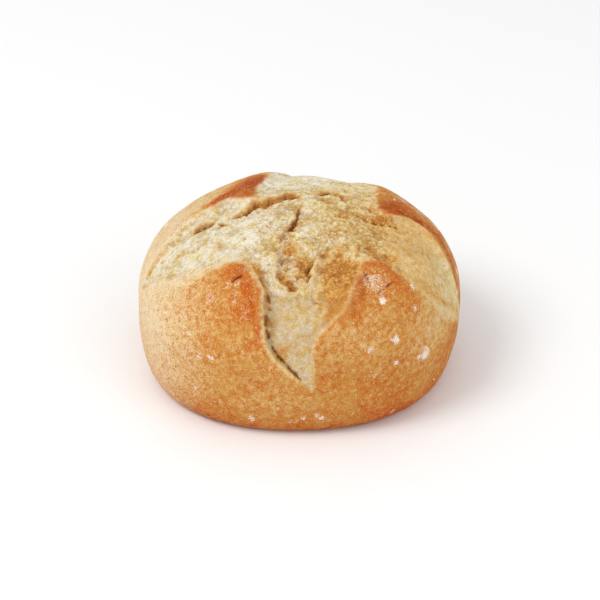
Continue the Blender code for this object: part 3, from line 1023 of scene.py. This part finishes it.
# %% Patterns in real millimetres
# Object coordinates are metres, so a pattern whose pieces are this many millimetres long has this scale.
PATTERNS = {
    # name: the length of its pieces, its detail and its distortion. Grains of flour are finer than this: they
    # are drawn as clumps, or they wouldn't show.
    "mottle": (1.5, 4.0, 0.0),
    "flecks": (0.75, 1.5, 1.6),
    "fibres": (1.1, 4.0, 0.8),
    "blotches": (4.5, 2.0, 0.5),
    "ochre": (8.0, 2.0, 0.0),
    "drift": (3.0, 2.5, 0.0),
    "grains": (0.45, 1.5, 0.0),
    "dimples": (1.0, 2.5, 0.0),
}
PATTERN_ROUGHNESS = 0.62
FLAKE_LENGTH = 1.15
FLAKE_PUSH_LENGTH = 1.6
FLAKE_PUSH = 1.1

where = add("ShaderNodeTexCoord", output="Object")
patterns = {name: add("ShaderNodeAttribute", output="Fac", attribute_name=name) for name in masks}
for name, (length, detail, distortion) in PATTERNS.items():
    links = {"Vector": where, "Scale": 1 / (length * MM), "Detail": detail}
    links.update({"Roughness": PATTERN_ROUGHNESS, "Distortion": distortion})
    patterns[name] = add("ShaderNodeTexNoise", links, "Fac")
# The crumb's flakes are cells, pushed about by noise so that none of them is round.
links = {"Vector": where, "Scale": 1 / (FLAKE_PUSH_LENGTH * MM), "Detail": 2.0}
pushed = add("ShaderNodeTexNoise", links, "Color")
links = {0: pushed, 1: [FLAKE_PUSH * MM] * 3, 2: where}
pushed = add("ShaderNodeVectorMath", links, operation="MULTIPLY_ADD")
flakes = add("ShaderNodeTexVoronoi", {"Vector": pushed, "Scale": 1 / (FLAKE_LENGTH * MM)}, "Distance")


def weigh(start, **weights):
    """The start plus each named pattern times its weight."""
    total = start
    for name, weight in weights.items():
        total = add("ShaderNodeMath", {0: patterns[name], 1: weight, 2: total}, operation="MULTIPLY_ADD")
    return total


patterns["flaked"] = add("ShaderNodeMath", {0: flakes, 1: weigh(1.0, calm=-0.8)}, operation="MULTIPLY")
print("patterns:", ", ".join(patterns))

# %% Tones
# Crust runs from cream dough to the orange-brown of a tip. Crumb is chalky or yellow in patches.
TONES = {
    "crust": ((0.0, "#dcc69c"), (0.25, "#d3a260"), (0.5, "#c27a30"), (0.75, "#c05c18"), (1.0, "#a4450f")),
    "chalky crumb": ((0.0, "#b79c70"), (0.34, "#d0c0a0"), (0.6, "#e3dac4"), (1.0, "#f0ede4")),
    "yellow crumb": ((0.0, "#b38e4c"), (0.34, "#cfb678"), (0.6, "#e0d09e"), (1.0, "#efe5c6")),
    "toasted crumb": ((0.0, "#a4642a"), (0.34, "#c2863e"), (0.6, "#d6a75e"), (1.0, "#e8cb8e")),
}
CRUMB_DARKEST = 0.19
CRUMB_PALEST = 0.48

# The low mask and the gaps between the flakes darken the crumb's tone: painted shade.
crumb_tone = weigh(-0.01, flecks=0.32, low=-0.2, blotches=0.25, fibres=0.35, flaked=-0.1)
links = {"Value": crumb_tone, "From Min": CRUMB_DARKEST, "From Max": CRUMB_PALEST}
patterns["crumb tone"] = add("ShaderNodeMapRange", links)
# Where the crumb is calm its tones are drawn together.
links = {0: weigh(-0.5, **{"crumb tone": 1.0}), 1: weigh(1.0, calm=-0.5), 2: 0.5}
crumb_tone = add("ShaderNodeMath", links, operation="MULTIPLY_ADD")
tones = {}
for name, stops in TONES.items():
    place = weigh(-0.7, bake=1.0, mottle=1.4) if name == "crust" else crumb_tone
    tones[name] = add("ShaderNodeValToRGB", {"Fac": place})
    elements = tones[name].node.color_ramp.elements
    for at, tone in stops:
        element = elements.new(at) if 0.0 < at < 1.0 else elements[0 if at == 0.0 else -1]
        element.color = linear(tone)
print("tones:", ", ".join(tones))


# %% Layers of colour
def lay_over(under, over, mask, start=0.0, end=1.0, most=1.0):
    """A colour over another: none of it where the mask is at the start, the most where it is at the end."""
    links = {"Value": mask, "From Min": start, "From Max": end, "To Max": most}
    share = add("ShaderNodeMapRange", links)
    over = linear(over) if isinstance(over, str) else over
    return add("ShaderNodeMix", {0: share, 6: under, 7: over}, 2, data_type="RGBA")


OCHRE_TONE = "#cda050"
DARK_FLECK_TONE = "#9c5a20"
SPECK_TONE = "#e8c488"
PORE_SHADE_TONE = "#a87a3c"
RIM_AND_HIGHLIGHT_TONE = "#e6c88a"
CREASE_SHADE_TONE = "#8c561e"
CRUST_CREASE_SHADE_TONE = "#8a3c14"
VEIL_TONE = "#eedabb"
FLOUR_TONE = "#f4e9dd"

crust_colour = lay_over(tones["crust"], OCHRE_TONE, patterns["ochre"], 0.45, 0.72, 0.5)
crust_colour = lay_over(crust_colour, DARK_FLECK_TONE, patterns["flecks"], 0.44, 0.34, 0.5)
crust_colour = lay_over(crust_colour, SPECK_TONE, weigh(0.0, flecks=1.0, bake=-0.12), 0.48, 0.62, 0.3)
drift = weigh(0.0, drift=1.0, yellowing=0.2)
colour = lay_over(tones["chalky crumb"], tones["yellow crumb"], drift, 0.45, 0.65)
colour = lay_over(colour, tones["toasted crumb"], weigh(0.0, toast=1.0, mottle=1.3), 0.7, 1.45)
# Painted shade: the gaps between the flakes and the pores are darkened.
colour = lay_over(colour, PORE_SHADE_TONE, patterns["flaked"], 0.62, 0.9, 0.3)
colour = lay_over(colour, PORE_SHADE_TONE, patterns["pore_shade"])
colour = lay_over(colour, crust_colour, patterns["crust"])
# The pale rim, with a painted highlight on the ledges' roofs and the hollow's brink.
colour = lay_over(colour, RIM_AND_HIGHLIGHT_TONE, patterns["rim_and_highlight"])
# Painted shade in creases, cracks and pits, redder on the crust.
crease_shade_colour = lay_over(linear(CREASE_SHADE_TONE), CRUST_CREASE_SHADE_TONE, patterns["crust"])
colour = lay_over(colour, crease_shade_colour, weigh(0.0, cavity=1.0, fibres=0.8), 0.55, 1.0)
colour = lay_over(colour, VEIL_TONE, weigh(0.0, flecks=1.0, veil=0.26), 0.58, 0.84, 0.6)
colour = lay_over(colour, FLOUR_TONE, weigh(0.0, flour=1.0, grains=2.0), 1.35, 1.8, 0.9)
print("nodes so far:", len(tree.nodes))

# %% Surface
# Crust is a little smoother than crumb. Neither is glossy, so the specular level is far below the default.
BUMP_HEIGHT = 0.6
SPECULAR_LEVEL = 0.04

relief_height = weigh(0.0, dimples=1.0, flecks=0.6, flaked=-0.35)
links = {"Height": relief_height, "Strength": weigh(0.7, crust=-0.2), "Distance": BUMP_HEIGHT * MM}
links = {
    "Base Color": colour,
    "Roughness": weigh(0.9, crust=-0.3),
    "Normal": add("ShaderNodeBump", links),
    "Specular IOR Level": SPECULAR_LEVEL,
}
add("ShaderNodeOutputMaterial", {"Surface": add("ShaderNodeBsdfPrincipled", links)})
mesh.materials.append(material)
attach(roll, "root")
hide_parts("bread_roll")
print("nodes of the crust and crumb:", len(tree.nodes))

# %% [markdown]
# ## The stage
#
# A pale floor, a bright even room and one large soft light from the upper left show a matt thing kindly:
# the shadows stay light, and the relief still reads. A small hard lamp would show more relief, but it
# would burn out the flour.

# %% Floor and room
PAPER_WHITE = 0.9
ROOM_BRIGHTNESS = 0.76

bm = bmesh.new()
bmesh.ops.create_grid(bm, x_segments=1, y_segments=1, size=3.0)
floor_mesh = bpy.data.meshes.new("floor")
bm.to_mesh(floor_mesh)
bm.free()
floor = bpy.data.objects.new("floor", floor_mesh)
floor.location.z = ROLL_LOW[2]
bpy.context.scene.collection.objects.link(floor)
paper = bpy.data.materials.new("white paper")
paper.use_nodes = True
sheet = paper.node_tree.nodes["Principled BSDF"]
sheet.inputs["Base Color"].default_value = (PAPER_WHITE, PAPER_WHITE, PAPER_WHITE, 1.0)
sheet.inputs["Roughness"].default_value = 0.9
floor_mesh.materials.append(paper)

world = bpy.data.worlds.new("bright room")
bpy.context.scene.world = world
world.use_nodes = True
world.node_tree.nodes["Background"].inputs["Color"].default_value = (1.0, 1.0, 1.0, 1.0)
world.node_tree.nodes["Background"].inputs["Strength"].default_value = ROOM_BRIGHTNESS
print("floor at height:", floor.location.z)

# %% Lamps and camera
TARGET = Vector((0.0, 0.0, 25.0 * MM))
LAMP_DISTANCE = 1.2
LAMPS = (
    # name, azimuth, elevation, size in metres and power in watts
    ("key light", -60.0, 52.0, 0.6, 6.4),
    ("fill light", 50.0, 35.0, 0.9, 2.0),
)
CAMERA_ELEVATION = 32.0
CAMERA_DISTANCE = 0.65
CAMERA_LENS = 125.2
CAMERA_SHIFT = (0.00167, -0.01917)


def towards(azimuth, elevation, distance):
    """A place seen from the target at this azimuth and elevation, in degrees; azimuth 0 is in front."""
    turn, rise = math.radians(azimuth), math.radians(elevation)
    flat = math.cos(rise)
    return TARGET + distance * Vector((math.sin(turn) * flat, -math.cos(turn) * flat, math.sin(rise)))


def aimed(name, data, place):
    """An object at a place, looking at the target."""
    obj = bpy.data.objects.new(name, data)
    obj.location = place
    obj.rotation_euler = (place - TARGET).to_track_quat("Z", "Y").to_euler()
    bpy.context.scene.collection.objects.link(obj)
    return obj


for name, azimuth, elevation, size, power in LAMPS:
    lamp = bpy.data.lights.new(name, "AREA")
    lamp.shape = "DISK"
    lamp.size = size
    lamp.energy = power
    aimed(name, lamp, towards(azimuth, elevation, LAMP_DISTANCE))

camera_data = bpy.data.cameras.new("camera")
camera_data.lens = CAMERA_LENS
camera_data.sensor_width = 36.0
camera_data.shift_x, camera_data.shift_y = CAMERA_SHIFT
camera = aimed("camera", camera_data, towards(0.0, CAMERA_ELEVATION, CAMERA_DISTANCE))
bpy.context.scene.camera = camera
bpy.context.scene.view_settings.view_transform = "Standard"
print("camera at:", [round(value, 3) for value in camera.location])
